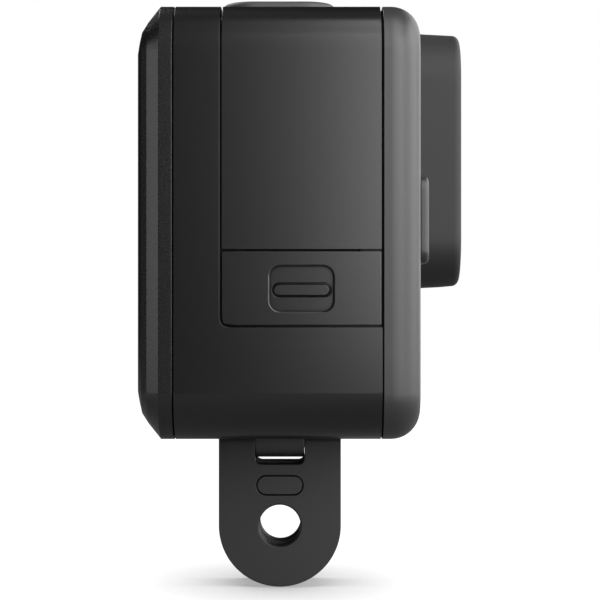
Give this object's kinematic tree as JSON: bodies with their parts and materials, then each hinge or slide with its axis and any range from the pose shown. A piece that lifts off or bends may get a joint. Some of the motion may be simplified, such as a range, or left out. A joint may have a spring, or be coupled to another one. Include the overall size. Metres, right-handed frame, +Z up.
{
  "type": "action camera",
  "caption": "Compact sealed action camera with a square twist-off lens cover, a flip-up side door with a latch, a top shutter button and folding mounting fingers below and behind.",
  "frame": {"origin": "centre of the bore through the two unfolded base fingers, midway between them", "axes": "+X across the body and along the finger bore, away from the side door; the lens looks along -Y; +Z up, from the base fingers to the shutter button"},
  "size_m": [0.0524, 0.0383, 0.0705],
  "materials": {
    "housing_plastic": "matte, finely textured",
    "front_plastic": "matte, finely textured",
    "cover_plastic": "satin moulding",
    "door_plastic": "matte, finely textured",
    "latch_plastic": "satin moulding",
    "button_plastic": "matte moulding",
    "heat_sink_metal": "black anodised",
    "finger_plastic": "matte, glass filled",
    "bracket_metal": "black anodised",
    "magnet_cap": "matte",
    "steel": "satin",
    "black_rubber": "matte",
    "seal_rubber": "matte",
    "inner_plastic": "moulded",
    "circuit_board": "solder mask",
    "cover_glass": "polished, coated",
    "lens_glass": "polished, coated",
    "display_glass": "polished",
    "display": "polished",
    "light_lens": "polished",
    "pad": "soft pad",
    "battery_wrap": "wrapped cell"
  },
  "bodies": {
    "body": {"main_housing": "housing_plastic", "front_cover": "front_plastic", "rear_heat_sink": "heat_sink_metal", "front_gasket": "black_rubber", "rear_gasket": "black_rubber", "rear_cover_screws": "steel", "base_hinge_bracket": "bracket_metal", "bracket_screws": "steel", "base_hinge_pins": "steel", "rear_hinge_bracket": "bracket_metal", "rear_hinge_pins": "steel", "door_hinge_pin": "steel", "button_seal": "black_rubber", "button_switch": "steel", "button_board": "circuit_board", "status_window": "display_glass", "status_display": "display", "lens_mount_ring": "cover_plastic", "lens_o_ring": "seal_rubber", "lens_barrel": "inner_plastic", "lens_front_element": "lens_glass", "lens_block": "inner_plastic", "image_sensor": "display", "sensor_board": "circuit_board", "main_board": "circuit_board", "processor": "inner_plastic", "thermal_pad": "pad", "battery": "battery_wrap", "battery_pads": "pad", "port_board": "circuit_board", "usb_port": "steel", "card_slot": "steel", "memory_card": "inner_plastic", "front_mic_cover": "front_plastic", "front_microphone": "steel", "status_light": "light_lens", "speaker": "inner_plastic", "speaker_mesh": "inner_plastic"},
    "door": {"door_panel": "door_plastic", "door_latch_panel": "door_plastic", "door_frame": "inner_plastic", "door_seal": "seal_rubber", "latch_spring": "steel"},
    "latch": {"door_latch": "latch_plastic"},
    "button": {"shutter_button": "button_plastic"},
    "lens_cover": {"lens_cover_frame": "cover_plastic", "lens_cover_glass": "cover_glass"},
    "base_finger_r": {"base_finger_right": "finger_plastic", "base_magnet_right": "magnet_cap"},
    "base_finger_l": {"base_finger_left": "finger_plastic", "base_magnet_left": "magnet_cap"},
    "rear_finger_r": {"rear_finger_right": "finger_plastic", "rear_magnet_right": "magnet_cap"},
    "rear_finger_l": {"rear_finger_left": "finger_plastic", "rear_magnet_left": "magnet_cap"}
  },
  "joints": [
    {"name": "door_hinge", "type": "hinge", "parent": "body", "child": "door", "pos_m": [-0.0195, 0, 0.0598], "axis": [0, 1, 0], "range_deg": [0, 90]},
    {"name": "latch_slide", "type": "slide", "parent": "door", "child": "latch", "axis": [0, 0, -1], "range_m": [0, 0.001], "stiffness_N_per_m": 400, "springref_m": -0.0005, "deforming": ["latch_spring"]},
    {"name": "shutter_press", "type": "slide", "parent": "body", "child": "button", "axis": [0, 0, -1], "range_m": [0, 0.0005], "stiffness_N_per_m": 800, "springref_m": -0.0005},
    {"name": "lens_cover_twist", "type": "hinge", "parent": "body", "child": "lens_cover", "pos_m": [0.0084, -0.0165, 0.045], "axis": [0, 1, 0], "range_deg": [0, 45]},
    {"name": "base_finger_right_fold", "type": "hinge", "parent": "body", "child": "base_finger_r", "pos_m": [-0.003, 0, 0.0101], "axis": [0, 1, 0], "range_deg": [0, 90]},
    {"name": "base_finger_left_fold", "type": "hinge", "parent": "body", "child": "base_finger_l", "pos_m": [0.003, 0, 0.0101], "axis": [0, -1, 0], "range_deg": [0, 90]},
    {"name": "rear_finger_right_unfold", "type": "hinge", "parent": "body", "child": "rear_finger_r", "pos_m": [-0.003, 0.0144, 0.03655], "axis": [0, 0, -1], "range_deg": [0, 90]},
    {"name": "rear_finger_left_unfold", "type": "hinge", "parent": "body", "child": "rear_finger_l", "pos_m": [0.003, 0.0144, 0.03655], "axis": [0, 0, 1], "range_deg": [0, 90]}
  ]
}
